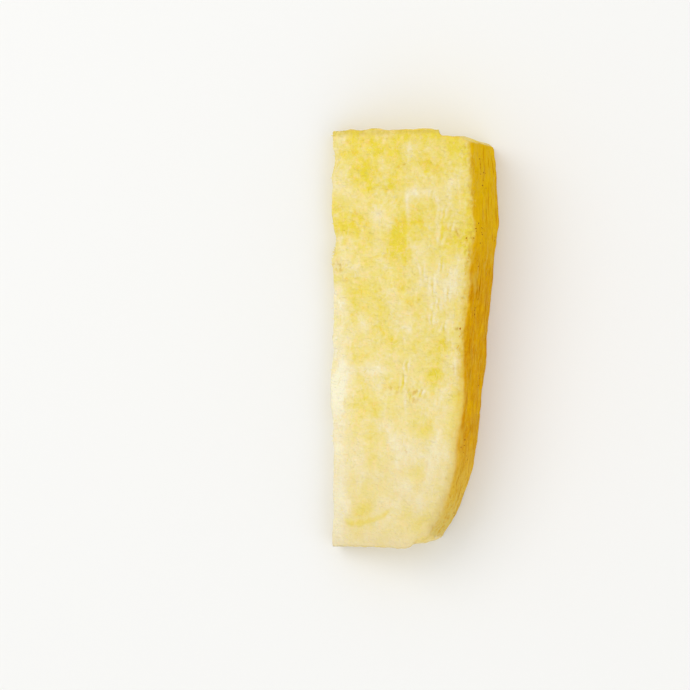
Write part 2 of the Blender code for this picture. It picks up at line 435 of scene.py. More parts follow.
def cut_relief(place, marks):
    """How far a cut face stands out: soft waves, a fine grain, and torn places."""
    swell = 0.70 * ripple(place, (8.0, 9.5, 8.0), 3.1) + 0.24 * ripple(place, (3.8, 4.6, 3.8), 4.6)
    grain = 0.12 * ripple(place, (1.5, 2.1, 1.5), 8.2) + 0.10 * ripple(place, (0.9, 1.2, 0.9), 1.7)
    grain *= 0.8 + 1.4 * marks["grainy"]
    rough = smooth_share((ripple(place, (8.0, 10.0, 8.0), 5.5) + 0.02) / 0.3)
    rough += 1.6 * marks["ragged"]
    flakes = 0.24 * abs(ripple(place, (1.2, 2.4, 1.2), 9.4)) - 0.06
    tears = marks["torn"] * (0.55 * ripple(place, (1.2, 0.9, 1.2), 2.9) + 0.05)
    crumbs = marks["ragged"] * (0.40 * ripple(place, (1.0, 1.2, 1.0), 6.3) - 0.05)
    rings = 0.07 * marks["wall"] - 0.03 * marks["inside"] + 0.05 * marks["skins"]
    slits = 0.14 * marks["lips"] - 0.16 * marks["furrow"]
    raised = swell + grain + rough * flakes + tears + crumbs + rings + slits
    return raised - 0.20 * marks["pits"] - 0.04


def peel_relief(place):
    """How far the peeled side stands out: lumps, and fibres that tore lengthwise."""
    fibres = 0.13 * (0.5 - 2.2 * abs(ripple(place, (1.3, 6.0, 1.3), 2.3)))
    fine = 0.10 * ripple(place, (0.9, 2.2, 0.9), 6.6)
    lumps = 0.20 * ripple(place, (2.4, 3.4, 2.4), 4.4)
    return fibres + fine + lumps - 0.10


def core_relief(place):
    """How far the core side stands out: tight lengthwise fibres."""
    fibres = 0.12 * ripple(place, (0.9, 6.0, 0.9), 7.7)
    waves = 0.45 * ripple((0.0, place.y, 0.0), (1.0, 6.5, 1.0), 9.4)
    waves += 0.25 * ripple(place, (2.0, 2.2, 2.0), 0.6)
    return fibres + waves - 0.15


# Where the ridge bulges out, or is cut in: a place along Y, a reach and how far.
RIDGE_BULGES = ((-36.0, 14.0, 0.9), (-18.0, 12.0, 0.9), (1.0, 10.0, -0.5), (30.0, 12.0, 0.4))


def ridge_waves(place, angle, skin):
    """How far the ridge over the peeled side swings out, and how far its colours wander."""
    off_ridge = math.hypot(skin, (WEDGE - angle) * PEEL_RADIUS)
    level = Vector((0.0, place.y, 0.0))
    swing = 0.75 * ripple(level, (1.0, 3.4, 1.0), 44.3)
    swing += 0.60 * ripple(level, (1.0, 1.4, 1.0), 46.7)
    swing *= fading(off_ridge, 3.6)
    for y, reach, out in RIDGE_BULGES:
        swing += out * fading(abs(place.y - y), reach) * fading(off_ridge, 7.0)
    return swing, ripple(place, (0.9, 2.4, 0.9), 48.0) + 0.6 * ripple(place, (0.6, 0.9, 0.6), 49.0)


# Where the core edge is cut in: a place along Y, a reach and how far.
CORE_HOLLOWS = ((51.0, 6.5, 1.0), (43.8, 3.4, 0.7), (29.4, 3.6, 0.8), (-3.5, 5.0, 0.5))


def core_hollow(place, depth):
    """How far the edge of the core side is cut in, at a depth from that side."""
    inwards = 0.35 * max(0.0, ripple((0.0, place.y, 0.0), (1.0, 2.1, 1.0), 52.6))
    for y, reach, cut_in in CORE_HOLLOWS:
        inwards += cut_in * fading(abs(place.y - y), reach)
    return inwards * fading(depth, 4.0)


def end_relief(place, around, radius):
    """How far an end stands out: a grain that spreads from the core."""
    spread = 0.26 * ripple((around, radius, 0.0), (1.1, 6.0, 1.0), 3.9)
    waves = 0.50 * ripple(place, (4.5, 4.5, 4.5), 33.0) + 0.24 * ripple(place, (1.7, 1.7, 1.7), 2.0)
    return spread + waves - 0.18


FACING_FROM = 0.55
FACING_OVER = 0.35
CROSSCUT_FROM = 0.18
CROSSCUT_OVER = 0.40
SKIN_REACH = 3.0
EDGE_NIBBLE = 0.55
RIDGE_NIBBLE = 0.7
CORNER_WEAR = 1.9  # off the corner between the base end and the peeled side
CORNER_REACH, CORNER_LENGTH = 6.0, 12.0
SHOULDER_AT_BASE = 5.6  # the upper face falls away to the peeled side over this width
SHOULDER_AT_CROWN = 2.6


def facing(normal, way):
    """1 where a surface looks squarely one way, and 0 where it looks well past it."""
    return smooth_share((normal.dot(way) - FACING_FROM) / FACING_OVER)


def keep_inside(body):
    """Presses back whatever stands out of the solid's own box."""
    for vertex in body.verts:
        vertex.co = Vector(min(max(p, a), b) for p, a, b in zip(vertex.co, low, high))


moved, carried = [], []
for vertex in flesh.verts:
    place = vertex.co / MM
    angle, radius = about_axis(place)
    outwards = Vector((math.cos(angle), 0.0, math.sin(angle)))
    around = angle * MIDDLE_RADIUS
    normal = vertex.normal
    skin = max(0.0, skin_radius(angle, place.y) - radius)
    share_along = (vertex.co.y - low.y) / (high.y - low.y)
    on_up = facing(normal, UP_FACE)
    on_down = facing(normal, DOWN_FACE)
    on_peel = facing(normal, outwards) * fading(skin, SKIN_REACH)
    on_core = facing(normal, -outwards)
    on_end = smooth_share((abs(normal.y) - FACING_FROM) / FACING_OVER)
    on_edge = max(0.0, 1.0 - on_up - on_down - on_peel - on_core - on_end)
    marks = {
        "torn": tear_share(place),
        "skins": membrane(place),
        "ragged": ragged_share(place, skin),
        "grainy": patch_tone(place, GRAINY_PLACES),
    }
    marks["wall"], marks["inside"] = fruitlet_ring(place)
    marks["furrow"], marks["lips"] = slit_marks(place)
    marks["pits"] = pit_share(place, marks["ragged"], marks["torn"])
    cut = cut_relief(place, marks)
    small_bites = max(0.0, ripple(place, (1.3, 1.3, 1.3), 14.0) + 0.15)
    long_bites = max(0.0, ripple(place, (3.0, 3.6, 3.0), 24.0) + 0.1)
    amount = (
        on_up * cut
        + on_down * min(0.0, cut - 0.05)
        + on_peel * peel_relief(place)
        + on_core * core_relief(place)
        + on_end * end_relief(place, around, radius)
        - on_edge * EDGE_NIBBLE * small_bites
        - on_edge * fading(skin, SKIN_REACH) * RIDGE_NIBBLE * long_bites
    )
    swing, wander = ridge_waves(place, angle, skin)
    swing += core_hollow(place, radius - CORE_RADIUS)
    shoulder_width = SHOULDER_AT_BASE + (SHOULDER_AT_CROWN - SHOULDER_AT_BASE) * share_along
    tone = 0.62 * patch_tone(place, PATCHES) + 0.62 * base_arc(place)
    pale = max(1.3 * marks["wall"], 0.5 * marks["skins"], 1.2 * marks["lips"])
    # What the point carries for the materials to read.
    values = {
        "skin_depth": skin,
        "core_depth": radius - CORE_RADIUS,
        "around": around,
        "shoulder": skin / shoulder_width + 0.18 * wander,
        "peeled": on_peel + 0.5 * wander * on_edge,
        "crosscut": smooth_share((abs(normal.y) - CROSSCUT_FROM) / CROSSCUT_OVER),
        "relief": amount,
        "tone": tone + 0.15 * marks["furrow"] + streak_tone(place),
        "pale": pale - 0.05 * marks["inside"],
        # Painted shade: the pits are painted amber, except on the peeled side.
        "pit_shade": marks["pits"] * (1.0 - on_peel),
        "grain": 0.4 + 0.9 * marks["grainy"] + 0.5 * fading(skin, 5.0),
        "calm": max(marks["wall"], marks["inside"]),
    }
    carried.append(values)
    # The worn corner moves the surface in without the painted shade that a hollow gets.
    wear = CORNER_WEAR * fading(skin, CORNER_REACH) * fading(place.y - BASE_Y, CORNER_LENGTH)
    moved.append(vertex.co + (normal * (amount - wear) + Vector((swing, 0.0, 0.0))) * MM)
for name in carried[0]:
    layer = flesh.verts.layers.float.new(name)
    for vertex, values in zip(flesh.verts, carried):
        vertex[layer] = values[name]
for vertex, place in zip(flesh.verts, moved):
    vertex.co = place
keep_inside(flesh)
flesh.normal_update()
PEELED_SIDE = 1  # the number of the peeled side's material
layer = flesh.verts.layers.float["peeled"]
for face in flesh.faces:
    if sum(v[layer] for v in face.verts) > 0.5 * len(face.verts):
        face.material_index = PEELED_SIDE
flesh_shape = BVHTree.FromBMesh(flesh)


def paint(red, green, blue):
    """A colour named by its screen values, as the shader's own linear light."""
    values = [v / 255.0 for v in (red, green, blue)]
    linear = [v / 12.92 if v <= 0.04045 else ((v + 0.055) / 1.055) ** 2.4 for v in values]
    return (*linear, 1.0)


def shade(tree, kind, inputs, **settings):
    """Adds a shader node. An input is a number, a colour, or another node's output."""
    made = tree.nodes.new("ShaderNode" + kind)
    for name, value in settings.items():
        setattr(made, name, value)
    for socket, value in inputs.items():
        if isinstance(value, bpy.types.NodeSocket):
            tree.links.new(value, made.inputs[socket])
        else:
            made.inputs[socket].default_value = value
    return made


def product(tree, first, second):
    return shade(tree, "Math", {0: first, 1: second}, operation="MULTIPLY").outputs[0]


def sum_of(tree, start, *terms):
    """A starting number plus amounts times their shares: each term is (share, amount)."""
    total = start
    for share, amount in terms:
        inputs = {0: share, 1: amount, 2: total}
        total = shade(tree, "Math", inputs, operation="MULTIPLY_ADD").outputs[0]
    return total


def mixed(tree, share, first, second):
    """The first colour at a share of 0, the second at 1."""
    return shade(tree, "Mix", {0: share, 6: first, 7: second}, data_type="RGBA").outputs[2]


def ranged(tree, value, start, end, first=0.0, last=1.0):
    """A smooth change from first to last while the value goes from start to end."""
    inputs = {"Value": value, "From Min": start, "From Max": end, "To Min": first, "To Max": last}
    return shade(tree, "MapRange", inputs, interpolation_type="SMOOTHSTEP").outputs[0]


def stored(tree, name):
    """A value that the mesh carries."""
    return shade(tree, "Attribute", {}, attribute_name=name).outputs["Fac"]


def in_millimetres(tree, along=1.0, across=1.0):
    """The piece's own coordinates, so that noise sizes are millimetres, or so drawn out."""
    coordinates = shade(tree, "TexCoord", {}).outputs["Object"]
    scale = [1.0 / (MM * s) for s in (across, along, across)]
    return shade(tree, "Mapping", {"Vector": coordinates, "Scale": scale}).outputs[0]


def along_spear(tree, spot):
    """How far a spot lies to the crown end from the middle, in millimetres."""
    return shade(tree, "SeparateXYZ", {0: spot}).outputs[1]


def about_core(tree):
    """Coordinates that run about the fruit's core, and slowly out from it."""
    outwards = product(tree, stored(tree, "core_depth"), 0.2)
    return shade(tree, "CombineXYZ", {0: stored(tree, "around"), 1: outwards, 2: 0.0}).outputs[0]


def clouds(tree, vector, size, octaves=3.0, roughness=0.5, twist=0.0):
    """Noise around 0 with its largest swells of a size in millimetres."""
    inputs = {"Vector": vector, "Scale": 1.0 / size, "Detail": octaves}
    inputs |= {"Roughness": roughness, "Distortion": twist}
    made = shade(tree, "TexNoise", inputs)
    return shade(tree, "Math", {0: made.outputs[0], 1: 0.5}, operation="SUBTRACT").outputs[0]


def warped(tree, vector, size, reach):
    """Coordinates pushed about, so that a pattern laid on them has uneven shapes."""
    inputs = {"Vector": vector, "Scale": 1.0 / size, "Detail": 2.0}
    inputs = {0: shade(tree, "TexNoise", inputs).outputs["Color"], 1: (0.5, 0.5, 0.5)}
    pushes = shade(tree, "VectorMath", inputs, operation="SUBTRACT").outputs[0]
    inputs = {0: pushes, 1: (2.0 * reach,) * 3, 2: vector}
    return shade(tree, "VectorMath", inputs, operation="MULTIPLY_ADD").outputs[0]


def cell_tones(tree, vector, size):
    """A tone of its own, of -0.5 to 0.5, for each soft-edged cell of a size in millimetres."""
    inputs = {"Vector": vector, "Scale": 1.0 / size, "Smoothness": 0.35}
    made = shade(tree, "TexVoronoi", inputs, feature="SMOOTH_F1")
    tone = shade(tree, "SeparateColor", {0: made.outputs["Color"]}).outputs[0]
    return shade(tree, "Math", {0: tone, 1: 0.5}, operation="SUBTRACT").outputs[0]


def cell_walls(tree, vector, size, width):
    """1 on the soft walls between cells of a size in millimetres, and 0 inside them."""
    inputs = {"Vector": vector, "Scale": 1.0 / size}
    edges = shade(tree, "TexVoronoi", inputs, feature="DISTANCE_TO_EDGE").outputs["Distance"]
    return ranged(tree, edges, width, 0.0)


def strokes(tree, along=1.0, across=1.0):
    """1 on short crisp strokes that bend about the way they are drawn out."""
    vector = warped(tree, in_millimetres(tree, along, across), 4.0, 1.6)
    return ranged(tree, clouds(tree, vector, 0.8, 2.0, 0.55, 0.6), 0.02, 0.11)


CREAM = paint(242, 227, 180)
YELLOW = paint(234, 211, 41)
# Painted shade, laid over the cut flesh that lies farther out from the core.
OUTWARD_PAINTED_SHADE = paint(213, 194, 100)
ORANGE_YELLOW = paint(241, 197, 48)
WHITE_FLESH = paint(245, 237, 203)
PEACH = paint(252, 219, 152)
LIME = paint(230, 219, 96)
GOLDEN = paint(224, 188, 56)
BASE_GOLD = paint(220, 192, 96)
# Partly juice and partly painted shade, along the crown end's rounded upper edge.
RIM_JUICE_AND_SHADE = paint(214, 188, 66)
# Painted shade for the pits.
PIT_SHADE_AMBER = paint(208, 158, 40)
BASE_DULL = paint(222, 203, 152)
AMBER = paint(226, 172, 2)
# Partly the peel's own deep amber, partly painted shade and a painted amber reflection.
DEEP_AMBER_AND_SHADE = paint(203, 136, 0)
CROWN_AMBER = paint(228, 184, 4)
TAN = paint(220, 182, 68)
BASE_TAN = paint(212, 188, 100)
FRECKLE = paint(200, 142, 14)


def cut_texture(tree, spot, by_skin, streaky):
    """How uneven the cut flesh is: above 0 where it is yellower, and below 0 where paler."""
    # Large clouds, weaker inside the fruitlets.
    longish = in_millimetres(tree, along=1.25)
    cloudy = clouds(tree, longish, 10.0, 4.0, 0.62, 0.6)
    patchy = clouds(tree, warped(tree, longish, 5.0, 1.5), 6.0, 3.0, 0.5)
    patchy = ranged(tree, patchy, -0.05, 0.05, -0.5, 0.5)
    cloudy = sum_of(tree, 0.0, (cloudy, 1.15), (patchy, 0.12))
    cloudy = product(tree, cloudy, ranged(tree, stored(tree, "calm"), 0.0, 0.8, 1.0, 0.3))
    # The cells of the flesh, and the pale walls and veins between them.
    pulp = cell_tones(tree, warped(tree, in_millimetres(tree, along=1.6), 2.5, 1.6), 1.9)
    walls = cell_walls(tree, warped(tree, in_millimetres(tree, across=1.3), 3.5, 1.8), 3.4, 0.15)
    walls = product(tree, walls, ranged(tree, clouds(tree, spot, 6.0, 3.0, 0.6), -0.06, 0.10))
    folded = clouds(tree, longish, 4.2, 4.0, 0.6, 0.6)
    folded = shade(tree, "Math", {0: folded}, operation="ABSOLUTE").outputs[0]
    veins = product(
        tree, ranged(tree, folded, 0.05, 0.0), ranged(tree, clouds(tree, spot, 7.0), -0.02, 0.12)
    )
    # Fibres out from the core, and lengthwise by the skin; and on the ends, spokes.
    radial = strokes(tree, across=2.6)
    lengthwise = product(tree, strokes(tree, along=3.2), by_skin)
    spokes = clouds(tree, about_core(tree), 1.6, 4.0, 0.65)
    spokes = product(tree, spokes, stored(tree, "crosscut"))
    # Small flecks, and the grain of opened cells.
    flecks = clouds(tree, warped(tree, longish, 2.6, 1.2), 2.4, 1.0, 0.5)
    flecks = ranged(tree, flecks, -0.04, 0.05, -0.5, 0.5)
    grainy = product(tree, clouds(tree, spot, 1.9, 5.0, 0.8), stored(tree, "grain"))
    return sum_of(
        tree,
        0.0,
        (cloudy, 1.0),
        (walls, -0.16),
        (pulp, 0.11),
        (streaky, 0.26),
        (radial, -0.13),
        (lengthwise, -0.11),
        (flecks, 0.11),
        (spokes, 3.0),
        (grainy, 0.45),
        (veins, -0.20),
    )


def yellowness_of(tree, along, texture, core_pale):
    """How yellow the cut flesh is: more so to the crown, and less by the core and the ridge."""
    shoulder = stored(tree, "shoulder")
    pale_shoulder = product(
        tree, ranged(tree, shoulder, 0.80, 1.20), ranged(tree, shoulder, 1.90, 1.30)
    )
    pale_shoulder = product(tree, pale_shoulder, ranged(tree, along, 36.0, 18.0, 0.2, 1.0))
    return sum_of(
        tree,
        0.35,
        (product(tree, texture, ranged(tree, along, -45.0, 10.0, 0.72, 0.95)), 1.0),
        (ranged(tree, along, -40.0, 50.0), 0.41),
        (ranged(tree, stored(tree, "skin_depth"), 14.0, 3.0), 0.06),
        (core_pale, -0.42),
        (pale_shoulder, -0.22),
        (stored(tree, "tone"), 1.0),
        # Painted shade: the lower places of the surface are painted yellower and darker.
        (stored(tree, "relief"), -0.7),
        (stored(tree, "pale"), -0.34),
    )


def edge_colours(tree, spot, colour, streaky):
    """Gold by the ridge and along the crown's edge, duller at the base, and painted amber shade in
    pits.
    """
    along = along_spear(tree, spot)
    crosscut = stored(tree, "crosscut")
    mottled = clouds(tree, in_millimetres(tree, along=1.8), 1.4, 3.0, 0.65, 0.5)
    by_ridge = ranged(tree, stored(tree, "shoulder"), 0.68, 0.10)
    golden = sum_of(
        tree,
        0.0,
        (by_ridge, 0.85),
        (crosscut, 0.20),
        (streaky, 0.5),
        (product(tree, mottled, by_ridge), 1.3),
    )
    gold = mixed(tree, ranged(tree, along, -26.0, -52.0), GOLDEN, BASE_GOLD)
    colour = mixed(tree, golden, colour, gold)
    # The golden rim along the crown's edge is partly juice and partly painted shade of the rounded
    # edge.
    broken = ranged(tree, clouds(tree, spot, 3.0), -0.15, 0.05, 0.30, 0.75)
    rim_juice_and_shade = product(tree, ranged(tree, along, 57.6, 58.9), broken)
    rim_juice_and_shade = product(tree, rim_juice_and_shade, ranged(tree, crosscut, 0.5, 1.0, 1.0, 0.15))
    colour = mixed(tree, rim_juice_and_shade, colour, RIM_JUICE_AND_SHADE)
    to_base = ranged(tree, along, -12.0, -52.0)
    by_base = ranged(tree, along, -53.0, -60.5)
    dull = sum_of(tree, 0.0, (to_base, 0.37), (by_base, 0.35))
    dull = product(tree, dull, ranged(tree, crosscut, 0.3, 1.0, 1.0, 0.35))
    colour = mixed(tree, dull, colour, BASE_DULL)
    # Painted shade: amber in the pits.
    return mixed(tree, product(tree, stored(tree, "pit_shade"), 0.70), colour, PIT_SHADE_AMBER)


def cut_colour(tree, spot):
    """Cream clouds in yellow flesh, with touches of orange, peach and lime."""
    along = along_spear(tree, spot)
    core_depth = stored(tree, "core_depth")
    by_core = ranged(tree, core_depth, 8.0, 2.0)
    core_pale = product(tree, by_core, ranged(tree, along, 20.0, 9.0, 0.15, 1.0))
    by_skin = ranged(tree, stored(tree, "skin_depth"), 16.0, 4.0, 0.15, 1.0)
    streaky = clouds(tree, in_millimetres(tree, along=4.0), 1.3, 3.0, 0.7, 0.3)
    streaky = product(tree, streaky, by_skin)
    texture = cut_texture(tree, spot, by_skin, streaky)
    yellowness = yellowness_of(tree, along, texture, core_pale)
    colour = mixed(tree, yellowness, CREAM, YELLOW)
    warm = ranged(tree, clouds(tree, spot, 3.2, 6.0, 0.85, 0.5), 0.0, 0.16, 0.0, 0.65)
    warm = product(tree, warm, ranged(tree, yellowness, 0.45, 0.85))
    warm = sum_of(tree, warm, (stored(tree, "crosscut"), 0.30))
    colour = mixed(tree, warm, colour, ORANGE_YELLOW)
    hue = clouds(tree, spot, 2.2, 4.0, 0.8)
    colour = mixed(tree, ranged(tree, hue, -0.02, 0.20, 0.0, 0.55), colour, PEACH)
    colour = mixed(tree, ranged(tree, hue, -0.02, -0.24, 0.0, 0.40), colour, LIME)
    white = sum_of(tree, 0.0, (ranged(tree, yellowness, 0.12, -0.30), 0.7), (core_pale, 0.36))
    colour = mixed(tree, white, colour, WHITE_FLESH)
    # Painted shade: the cut flesh is painted duller and darker the farther it lies out from the
    # core.
    painted_shade_outwards = ranged(tree, core_depth, 2.0, 46.0, 0.0, 0.18)
    colour = mixed(tree, painted_shade_outwards, colour, OUTWARD_PAINTED_SHADE)
    return edge_colours(tree, spot, colour, streaky)


def peeled_colour(tree, spot):
    """Amber with lengthwise strands: lighter by the crown, and tan to the base end."""
    along = along_spear(tree, spot)
    strands = clouds(tree, in_millimetres(tree, along=4.5), 1.1, 4.0, 0.7, 0.5)
    bundles = clouds(tree, in_millimetres(tree, along=5.0), 2.6, 3.0, 0.6, 0.8)
    blotches = clouds(tree, spot, 6.0, 4.0, 0.6, 0.4)
    speckle = clouds(tree, spot, 0.8, 3.0, 0.7)
    # Deep amber over much of the peeled side: partly its own colour, partly painted shade and a
    # painted amber reflection, and deeper in its hollows as painted shade.
    strands_and_painted_shade = sum_of(tree, 0.42, (strands, 1.8), (bundles, 1.2), (blotches, 2.0), (speckle, 1.2))
    strands_and_painted_shade = sum_of(tree, strands_and_painted_shade, (stored(tree, "relief"), -1.0))
    colour = mixed(tree, strands_and_painted_shade, AMBER, DEEP_AMBER_AND_SHADE)
    to_crown = sum_of(tree, 0.0, (ranged(tree, along, 8.0, 40.0), 0.75), (strands, -0.5))
    colour = mixed(tree, to_crown, colour, CROWN_AMBER)
    to_base = ranged(tree, along, -24.0, -44.0)
    to_base = sum_of(tree, 0.0, (to_base, 0.85), (strands, -1.2), (blotches, 0.6))
    colour = mixed(tree, to_base, colour, TAN)
    colour = mixed(tree, ranged(tree, bundles, 0.06, 0.20, 0.0, 0.55), colour, TAN)
    by_base = ranged(tree, along, -40.0, -56.0)
    paler = sum_of(tree, -0.1, (by_base, 0.95), (strands, -0.9), (speckle, -1.6))
    colour = mixed(tree, product(tree, paler, ranged(tree, along, -36.0, -44.0)), colour, BASE_TAN)
    freckles = clouds(tree, warped(tree, in_millimetres(tree, along=1.8), 3.0, 1.0), 1.2, 3.0, 0.7)
    freckles = ranged(tree, freckles, 0.0, 0.15)
    freckles = product(tree, freckles, ranged(tree, along, -20.0, -40.0, 0.22, 0.6))
    return mixed(tree, freckles, colour, FRECKLE)


def new_material(name, values):
    """A material with values on its shader's own sockets, and that shader."""
    material = bpy.data.materials.new(name)
    material.use_nodes = True
    shader = material.node_tree.nodes["Principled BSDF"]
    for socket, value in values.items():
        shader.inputs[socket].default_value = value
    return material, shader


LIGHT_REACH = (1.0, 0.75, 0.25)  # how far red, green and blue light goes into the flesh


def flesh_material(name, roughness, specular, coat):
    """Wet fruit flesh, which light enters a little way."""
    values = {
        "IOR": 1.36,
        "Specular IOR Level": specular,
        "Coat Weight": coat,
        "Coat Roughness": 0.2,
        "Subsurface Weight": 0.20,
        "Subsurface Radius": LIGHT_REACH,
        "Subsurface Scale": 1.2 * MM,
    }
    material, shader = new_material(name, values)
    tree = material.node_tree
    spot = in_millimetres(tree)
    peeled = stored(tree, "peeled")
    colour = mixed(tree, peeled, cut_colour(tree, spot), peeled_colour(tree, spot))
    # A fine grain of cells and fibres, which the bump raises and which breaks the gloss.
    pulp = cell_tones(tree, warped(tree, spot, 2.0, 0.8), 1.3)
    outward = clouds(tree, warped(tree, in_millimetres(tree, across=2.2), 4.0, 2.4), 0.8, 2.0, 0.5)
    lengthwise = clouds(tree, in_millimetres(tree, along=4.5), 0.8, 2.0, 0.5, 0.4)
    spokes = clouds(tree, about_core(tree), 0.9, 2.0, 0.5)
    inputs = {0: stored(tree, "crosscut"), 2: outward, 3: spokes}
    inputs = {0: peeled, 2: shade(tree, "Mix", inputs).outputs[0], 3: lengthwise}
    fibrous = shade(tree, "Mix", inputs).outputs[0]
    fine = sum_of(tree, 0.0, (clouds(tree, spot, 1.0, 2.0, 0.5), 1.3), (pulp, 0.40), (fibrous, 0.9))
    fine = product(tree, fine, ranged(tree, along_spear(tree, spot), -45.0, 10.0, 0.7, 1.0))
    tree.links.new(colour, shader.inputs["Base Color"])
    tree.links.new(sum_of(tree, roughness, (fine, 0.4)), shader.inputs["Roughness"])
    bump = shade(tree, "Bump", {"Height": fine, "Strength": 0.9, "Distance": 0.45 * MM})
    tree.links.new(bump.outputs[0], shader.inputs["Normal"])
    return material


def make_piece(name, body, *materials):
    """A finished piece of the spear, which rides on its one body."""
    keep_inside(body)
    mesh = mesh_of(name, body)
    mesh.shade_smooth()
    for material in materials:
        mesh.materials.append(material)
    piece = add_object(name, mesh)
    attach(piece, "root")
    return piece


cut_flesh = flesh_material("cut_flesh", roughness=0.45, specular=0.35, coat=0.25)
peeled_flesh = flesh_material("peeled_flesh", roughness=0.60, specular=0.02, coat=0.0)
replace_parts(make_piece("spear_flesh", flesh, cut_flesh, peeled_flesh), "spear")


# ---- The cut fibres ----------------------------------------------------------------------
# Short pale ends of the fibres that the knife cut through. They lie bent over and half sunk
# in the upper face, the core side and the two ends, and give these a fine broken grain.

CUT_FIBRE_LENGTHS = (1.0, 4.2)
CUT_FIBRE_RADII = (0.07, 0.15)
CUT_FIBRE_SINK = 0.72  # of its radius, from the surface down to its middle line
CUT_FIBRE_BOW = 0.18  # of its length
CUT_FIBRE_ENDS = (BASE_Y + 1.0, CROWN_Y - 1.0)
OFF_FACE = 5.0  # from how far off a face a place on it is looked for
UPPER_FIBRES, UPPER_DEPTHS = 460, (0.8, 46.0)  # out from the core edge
CORE_FIBRES, CORE_HEIGHTS = 110, (0.3, 4.8)
END_FIBRES, END_DEPTHS, END_DEGREES = 70, (1.0, 44.0), (1.0, 29.0)
SQUARE_ON = 0.75  # how squarely the face has to look back at a fibre


def blunt(share):
    """The thickness along a thread that is thinner at both ends."""
    return 0.3 + 0.7 * math.sin(math.pi * share) ** 0.5


def pointed(share):
    """The thickness along a shred that thins out to its tip."""
    return 0.12 + 0.88 * (1.0 - share) ** 0.7


def add_thread(body, route, radius, bends, sides, thickness):
    """A round thread along a route of a share from 0 to 1."""
    thread = bmesh.new()
    bmesh.ops.create_circle(thread, cap_ends=True, segments=sides, radius=1.0)
    bmesh.ops.spin(
        thread,
        geom=thread.verts[:] + thread.edges[:] + thread.faces[:],
        cent=(0.0, 0.0, 0.0),
        axis=(0.0, 0.0, 1.0),
        dvec=(0.0, 0.0, 1.0 / bends),
        angle=0.0,
        steps=bends,
        use_duplicate=False,
    )
    bmesh.ops.recalc_face_normals(thread, faces=thread.faces[:])
    for vertex in thread.verts:
        share = min(1.0, max(0.0, vertex.co.z))
        here, beyond = route(share), route(share + 0.02)
        across = (beyond - here).to_track_quat("Z", "Y") @ Vector((vertex.co.x, vertex.co.y, 0.0))
        vertex.co = (here + across * radius * thickness(share)) * MM
    laid = mesh_of("thread", thread)
    body.from_mesh(laid)
    bpy.data.meshes.remove(laid)


def lay_cut_fibre(body, draw, above, way, run):
    """Lays a fibre on the face that is found one way from a point above it, along a run."""
    length = draw.uniform(*CUT_FIBRE_LENGTHS)
    radius = draw.uniform(*CUT_FIBRE_RADII)
    bow = draw.uniform(-CUT_FIBRE_BOW, CUT_FIBRE_BOW) * length
    side = run.cross(way)

    def on_face(share):
        start = above + run * (share - 0.5) * length + side * bow * math.sin(math.pi * share)
        return flesh_shape.ray_cast(start * MM, way)[:2]

    def along_face(share):
        place, normal = on_face(share)
        return place / MM - normal * radius * CUT_FIBRE_SINK

    normals = [on_face(k / 8.0)[1] for k in range(-1, 10)]
    if all(normal is not None and normal.dot(way) < -SQUARE_ON for normal in normals):
        add_thread(body, along_face, radius, bends=6, sides=5, thickness=blunt)


cut_draw = random.Random(5)
cut_fibres = bmesh.new()
for _ in range(UPPER_FIBRES):
    out = cut_draw.uniform(*UPPER_DEPTHS)
    above = on_upper_face(cut_draw.uniform(*CUT_FIBRE_ENDS), out) + UP_FACE * OFF_FACE
    spread = 75.0 - 50.0 * smooth_share((out - 14.0) / 20.0)  # most run lengthwise by the skin
    turn = math.radians(cut_draw.gauss(0.0, 1.0) * spread)
    run = Vector((0.0, 1.0, 0.0)) * math.cos(turn) + OUT_FACE * math.sin(turn)
    lay_cut_fibre(cut_fibres, cut_draw, above, -UP_FACE, run)
for _ in range(CORE_FIBRES):
    y = cut_draw.uniform(*CUT_FIBRE_ENDS)
    above = Vector((low.x / MM - OFF_FACE, y, cut_draw.uniform(*CORE_HEIGHTS)))
    turn = math.radians(cut_draw.gauss(0.0, 12.0))
    run = Vector((0.0, math.cos(turn), math.sin(turn)))
    lay_cut_fibre(cut_fibres, cut_draw, above, Vector((1.0, 0.0, 0.0)), run)
for end_y, way in ((BASE_Y - OFF_FACE, 1.0), (CROWN_Y + OFF_FACE, -1.0)):
    for _ in range(END_FIBRES):
        angle = math.radians(cut_draw.uniform(*END_DEGREES))
        radial = Vector((math.cos(angle), 0.0, math.sin(angle)))
        above = Vector((AXIS_X, end_y, 0.0))
        above += radial * (CORE_RADIUS + cut_draw.uniform(*END_DEPTHS))
        lay_cut_fibre(cut_fibres, cut_draw, above, Vector((0.0, way, 0.0)), radial)


def fibre_material(name, deep, pale, paleness, specular=0.10):
    """Thin fibres of the fruit, paler in some stretches than in others."""
    values = {
        "Roughness": 0.55,
        "Specular IOR Level": specular,
        "Subsurface Weight": 0.2,
        "Subsurface Radius": LIGHT_REACH,
        "Subsurface Scale": 0.5 * MM,
    }
    material, shader = new_material(name, values)
    tree = material.node_tree
    spot = in_millimetres(tree)
    to_base = ranged(tree, along_spear(tree, spot), 40.0, -50.0)
    tint = sum_of(tree, paleness, (clouds(tree, spot, 3.0, 3.0, 0.6), 2.2), (to_base, 0.45))
    tree.links.new(mixed(tree, tint, deep, pale), shader.inputs["Base Color"])
    return material


cut_fibre = fibre_material("cut_fibre", paint(237, 214, 92), paint(245, 232, 178), 0.10)
make_piece("cut_fibres", cut_fibres, cut_fibre)


# ---- The torn fibres ---------------------------------------------------------------------
# Thin tough threads of the fruit that the peeling knife pulled up but didn't cut off. They
# lie lengthwise along the peeled side, half sunk in it, and lift a little in their middle.

FIBRE_COUNT = 100
FIBRE_LENGTHS = (4.0, 15.0)
FIBRE_RADII = (0.07, 0.16)
FIBRE_DEGREES = (1.5, 25.0)  # about the fruit's axis
FIBRE_SWING = 1.0  # degrees
FIBRE_BOW = 0.7  # degrees
FIBRE_LIFT = 0.09  # at most, in its middle
FIBRE_SINK = 0.12  # at its ends
FIBRE_END_CLEAR = 3.0
LOWEST_ANGLE = math.radians(1.0)

